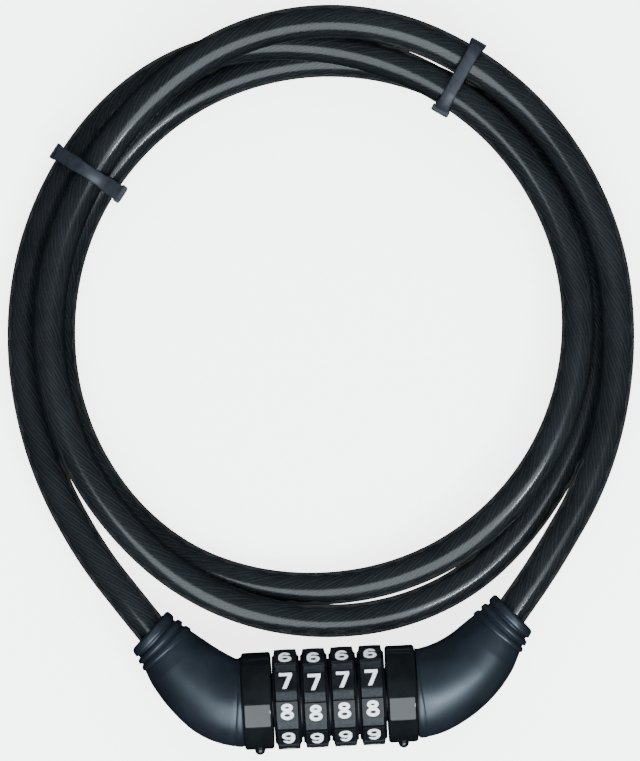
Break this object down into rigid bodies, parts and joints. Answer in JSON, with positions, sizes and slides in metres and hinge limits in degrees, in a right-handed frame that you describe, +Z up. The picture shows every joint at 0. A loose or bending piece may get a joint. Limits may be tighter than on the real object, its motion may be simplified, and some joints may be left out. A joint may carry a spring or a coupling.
{
  "type": "combination cable lock",
  "caption": "Bicycle cable lock with number dials between two rubber boots, its sleeved wire rope wound into a tied coil.",
  "frame": {"origin": "middle of the dial barrel, on the axis that the dials turn about", "axes": "+X along the barrel from the fixed end to the plug end, +Y from the barrel towards the coil, +Z up from the surface that the lock lies on"},
  "size_m": [0.1529, 0.1803, 0.0256],
  "materials": {
    "boot_rubber": "satin moulded rubber",
    "die_cast_zinc": "die-cast zinc alloy, dull",
    "ferrule_brass": "crimped, dull",
    "pin_steel": "plain steel",
    "rope_steel": "twisted steel wire",
    "core_steel": "turned and plated",
    "collar_gloss_black": "high gloss black",
    "index_pin_black": "gloss black, domed",
    "seal_rubber": "smooth",
    "cable_jacket": "glossy smoked vinyl over twisted wire rope",
    "tie_rubber": "matt moulded strap",
    "dial_black_plastic": "satin moulded plastic",
    "numeral_white": "white paint",
    "gate_ring_brass": "turned brass"
  },
  "bodies": {
    "lock": {"left_boot": "boot_rubber", "left_elbow": "die_cast_zinc", "left_ferrule": "ferrule_brass", "left_ferrule_pin": "pin_steel", "left_rope_end": "rope_steel", "left_collar": "collar_gloss_black", "left_index_pin": "index_pin_black", "core_tube": "core_steel", "dial_spring": "pin_steel", "spacer_washers": "pin_steel", "retaining_clip": "pin_steel", "right_collar": "collar_gloss_black", "right_index_pin": "index_pin_black", "socket_seal": "seal_rubber", "cable_turn_1": "cable_jacket", "cable_turn_2": "cable_jacket", "left_tie": "tie_rubber", "top_tie": "tie_rubber"},
    "dial_1": {"dial_1": "dial_black_plastic", "dial_1_numerals": "numeral_white", "gate_ring_1": "gate_ring_brass"},
    "dial_2": {"dial_2": "dial_black_plastic", "dial_2_numerals": "numeral_white", "gate_ring_2": "gate_ring_brass"},
    "dial_3": {"dial_3": "dial_black_plastic", "dial_3_numerals": "numeral_white", "gate_ring_3": "gate_ring_brass"},
    "dial_4": {"dial_4": "dial_black_plastic", "dial_4_numerals": "numeral_white", "gate_ring_4": "gate_ring_brass"},
    "plug": {"right_boot": "boot_rubber", "right_elbow": "die_cast_zinc", "right_ferrule": "ferrule_brass", "right_ferrule_pin": "pin_steel", "right_rope_end": "rope_steel", "plug_pin": "core_steel", "plug_studs": "core_steel", "plug_lock_pin": "pin_steel", "cable_tail": "cable_jacket"}
  },
  "joints": [
    {"name": "dial_1_turn", "type": "hinge", "parent": "lock", "child": "dial_1", "pos_m": [0, 0, 0], "axis": [1, 0, 0], "continuous": true},
    {"name": "dial_2_turn", "type": "hinge", "parent": "lock", "child": "dial_2", "pos_m": [0, 0, 0], "axis": [1, 0, 0], "continuous": true},
    {"name": "dial_3_turn", "type": "hinge", "parent": "lock", "child": "dial_3", "pos_m": [0, 0, 0], "axis": [1, 0, 0], "continuous": true},
    {"name": "dial_4_turn", "type": "hinge", "parent": "lock", "child": "dial_4", "pos_m": [0, 0, 0], "axis": [1, 0, 0], "continuous": true},
    {"name": "plug_pull", "type": "slide", "parent": "lock", "child": "plug", "axis": [1, 0, 0], "range_m": [0, 0.044]}
  ]
}
